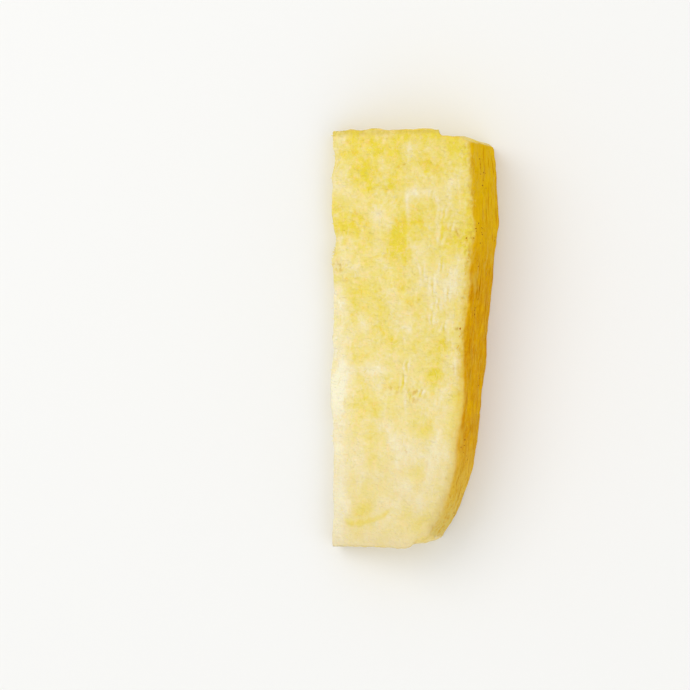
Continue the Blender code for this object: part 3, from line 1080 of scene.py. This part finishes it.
fibre_draw = random.Random(7)
fibres = bmesh.new()
for _ in range(FIBRE_COUNT):
    length = fibre_draw.uniform(*FIBRE_LENGTHS)
    radius = fibre_draw.uniform(*FIBRE_RADII)
    reach = (high.y - low.y) / MM / 2.0 - length / 2.0 - FIBRE_END_CLEAR
    middle_y = fibre_draw.uniform(-reach, reach)
    middle_angle = math.radians(fibre_draw.uniform(*FIBRE_DEGREES))
    swing = math.radians(fibre_draw.uniform(-FIBRE_SWING, FIBRE_SWING))
    bow = math.radians(fibre_draw.uniform(-FIBRE_BOW, FIBRE_BOW))
    lift = fibre_draw.uniform(0.2, 1.0) * FIBRE_LIFT

    def along_peel(share):
        y = middle_y + (share - 0.5) * length
        angle = middle_angle + swing * (share - 0.5) + bow * math.sin(math.pi * share)
        place, normal = on_peeled_side(max(angle, LOWEST_ANGLE), y, flesh_shape)
        off_skin = lift * math.sin(math.pi * share) - FIBRE_SINK * (2.0 * share - 1.0) ** 2
        return place + normal * off_skin

    add_thread(fibres, along_peel, radius, bends=12, sides=5, thickness=blunt)

torn_fibre = fibre_material("torn_fibre", paint(216, 158, 8), paint(228, 190, 72), 0.05, 0.02)
make_piece("torn_fibres", fibres, torn_fibre)


# ---- The shreds --------------------------------------------------------------------------
# Ragged scraps of flesh that hang on where the knife left the fruit. Most stand along the
# ridge over the peeled side, and some along the core edge, thickest where a fibre tore out.

RIDGE_SHREDS = 70
RIDGE_DEGREES = (28.2, 29.3)  # about the fruit's axis
CROWN_CLEAR = 8.0  # the ridge's shreds end this far from the crown end
SHRED_LENGTHS = (0.4, 1.3)
SHRED_RADII = (0.10, 0.24)
SHRED_RISES = (0.05, 0.30)
SHRED_ROOT = 0.15
# Along the core edge: a place along Y, how far they spread, and how many.
CORE_SHREDS = ((24.6, 1.4, 12), (21.8, 0.5, 4), (44.0, 9.0, 9), (-15.0, 18.0, 14))
EDGE_HEIGHTS = (3.4, 4.7)
EDGE_END_CLEAR = 2.0


def add_shred(body, draw, place, normal, run):
    """A shred that starts in the surface, runs along it and curls up to its tip."""
    length = draw.uniform(*SHRED_LENGTHS)
    radius = draw.uniform(*SHRED_RADII)
    rise = draw.uniform(*SHRED_RISES)
    root = place - normal * SHRED_ROOT

    def curl(share):
        off_root = SHRED_ROOT * min(1.0, 3.0 * share) + rise * share**2
        return root + run * share * length + normal * off_root

    add_thread(body, curl, radius, bends=5, sides=6, thickness=pointed)


shred_draw = random.Random(3)
ridge_shreds = bmesh.new()
for _ in range(RIDGE_SHREDS):
    y = RAGGED_FROM + (CROWN_Y - CROWN_CLEAR - RAGGED_FROM) * shred_draw.random() ** 0.8
    angle = math.radians(shred_draw.uniform(*RIDGE_DEGREES))
    place, normal = on_peeled_side(angle, y, flesh_shape)
    lengthwise = Vector((0.0, shred_draw.choice((-1.0, 1.0)), 0.0))
    run = (lengthwise + normal.cross(lengthwise) * shred_draw.gauss(0.0, 0.4)).normalized()
    add_shred(ridge_shreds, shred_draw, place, normal, run)

ridge_shred = fibre_material("ridge_shred", paint(222, 176, 44), paint(236, 208, 96), 0.15, 0.02)
make_piece("ridge_shreds", ridge_shreds, ridge_shred)

core_shreds = bmesh.new()
for middle_y, spread, count in CORE_SHREDS:
    for _ in range(count):
        y = middle_y + shred_draw.gauss(0.0, spread)
        y = min(max(y, BASE_Y + EDGE_END_CLEAR), CROWN_Y - EDGE_END_CLEAR)
        start = Vector((low.x / MM - OFF_FACE, y, shred_draw.uniform(*EDGE_HEIGHTS)))
        place, normal = flesh_shape.ray_cast(start * MM, Vector((1.0, 0.0, 0.0)))[:2]
        lengthwise = shred_draw.choice((-1.0, 1.0)) * shred_draw.uniform(0.2, 1.0)
        run = Vector((-0.8, lengthwise, 0.2)).normalized()
        if place is not None and normal.x < -0.5:
            add_shred(core_shreds, shred_draw, place / MM, normal, run)

core_shred = fibre_material("core_shred", paint(236, 218, 130), paint(248, 240, 206), 0.25)
make_piece("core_shreds", core_shreds, core_shred)


# ---- The eyes' remains -------------------------------------------------------------------
# Brown specks that the knife left in the hollows of the fruit's eyes and along the ridge:
# scraps of the scales and dried flowers that sit in each eye of the peel.

# Each at a place along Y, an angle about the fruit's axis in degrees, and how many.
EYE_REMAINS = (
    (-49.0, 9.0, 7),
    (-30.0, 22.0, 6),
    (-11.0, 9.0, 6),
    (8.0, 22.0, 6),
    (27.0, 9.0, 7),
    (46.0, 22.0, 6),
)
RIDGE_SPECKS = (
    (30.0, 25.5, 8),
    (48.5, 24.0, 5),
    (22.0, 25.5, 3),
    (30.5, 28.6, 5),
    (2.0, 28.0, 2),
    (-35.0, 20.0, 3),
    (-49.5, 16.0, 2),
    (-52.0, 21.0, 2),
)
SPECK_SPREAD = 1.6
SPECK_RADII = (0.12, 0.30)
SPECK_WIDTHS = (0.5, 0.9)  # of its length
SPECK_HEIGHT = 0.45  # of its length
SPECK_JITTER = 0.35
HIGHEST_ANGLE = math.radians(29.2)

speck_draw = random.Random(11)
specks = bmesh.new()
for y, degrees, count in EYE_REMAINS + RIDGE_SPECKS:
    for _ in range(count):
        speck_y = y + speck_draw.gauss(0.0, SPECK_SPREAD)
        angle = math.radians(degrees) + speck_draw.gauss(0.0, SPECK_SPREAD * 0.6) / PEEL_RADIUS
        place, normal = on_peeled_side(min(angle, HIGHEST_ANGLE), speck_y, flesh_shape)
        size = speck_draw.uniform(*SPECK_RADII)
        chip = bmesh.ops.create_icosphere(specks, subdivisions=2, radius=1.0)["verts"]
        turn = normal.to_track_quat("Z", "Y").to_matrix().to_4x4()
        spin = Matrix.Rotation(speck_draw.uniform(0.0, math.tau), 4, "Z")
        width = size * speck_draw.uniform(*SPECK_WIDTHS)
        shape = Matrix.Diagonal((size, width, size * SPECK_HEIGHT, 1.0))
        for vertex in chip:
            vertex.co *= 1.0 + SPECK_JITTER * ripple(vertex.co + place, (0.7, 0.7, 0.7))
        onto = Matrix.Scale(MM, 4) @ Matrix.Translation(place) @ turn @ spin @ shape
        bmesh.ops.transform(specks, matrix=onto, verts=chip)

eye_speck, shader = new_material("eye_speck", {"Roughness": 0.6, "Specular IOR Level": 0.05})
tree = eye_speck.node_tree
tint = sum_of(tree, 0.5, (clouds(tree, in_millimetres(tree), 1.2, 3.0, 0.6), 3.0))
speck_colour = mixed(tree, tint, paint(150, 80, 4), paint(192, 120, 14))
tree.links.new(speck_colour, shader.inputs["Base Color"])
make_piece("eye_specks", specks, eye_speck)


# ---- The studio --------------------------------------------------------------------------
# A plain pale floor under soft light, most of it from the upper left, and a camera that
# looks straight down, as on food laid out for a catalogue.

FLOOR_SIZE = 6.0
CAMERA_HEIGHT = 1.4
CAMERA_X = -20.0 * MM
CAMERA_Y = -1.9 * MM
IMAGE_SIDE = 690
PIXELS_PER_METRE = 3500.0  # at the middle of the spear's height
SENSOR = 36.0
SKY_COLOUR = (0.97, 0.98, 1.0, 1.0)
SKY_STRENGTH = 0.88

ground = bmesh.new()
bmesh.ops.create_grid(ground, x_segments=1, y_segments=1, size=FLOOR_SIZE / 2.0)
floor = add_object("floor", mesh_of("floor", ground))
floor_values = {"Base Color": paint(240, 239, 235), "Roughness": 0.7}
floor.data.materials.append(new_material("floor_paint", floor_values)[0])


def soft_light(name, place, side, power):
    """A square lamp that faces the spear from a place."""
    lamp = bpy.data.lights.new(name, "AREA")
    lamp.size = side
    lamp.energy = power
    holder = add_object(name, lamp)
    holder.location = place
    holder.rotation_euler = (-Vector(place)).to_track_quat("-Z", "Y").to_euler()


soft_light("key_light", (-0.75, 0.55, 1.1), side=0.9, power=5.02)
soft_light("fill_light", (0.9, -0.6, 0.9), side=1.2, power=2.30)

world = bpy.data.worlds.new("studio")
world.use_nodes = True
sky = world.node_tree.nodes["Background"]
sky.inputs["Color"].default_value = SKY_COLOUR
sky.inputs["Strength"].default_value = SKY_STRENGTH
bpy.context.scene.world = world

lens = bpy.data.cameras.new("camera")
lens.sensor_width = SENSOR
middle_height = (low.z + high.z) / 2.0
lens.lens = SENSOR * PIXELS_PER_METRE * (CAMERA_HEIGHT - middle_height) / IMAGE_SIDE
camera = add_object("camera", lens)
camera.location = (CAMERA_X, CAMERA_Y, CAMERA_HEIGHT)
bpy.context.scene.camera = camera
bpy.context.scene.view_settings.view_transform = "Standard"
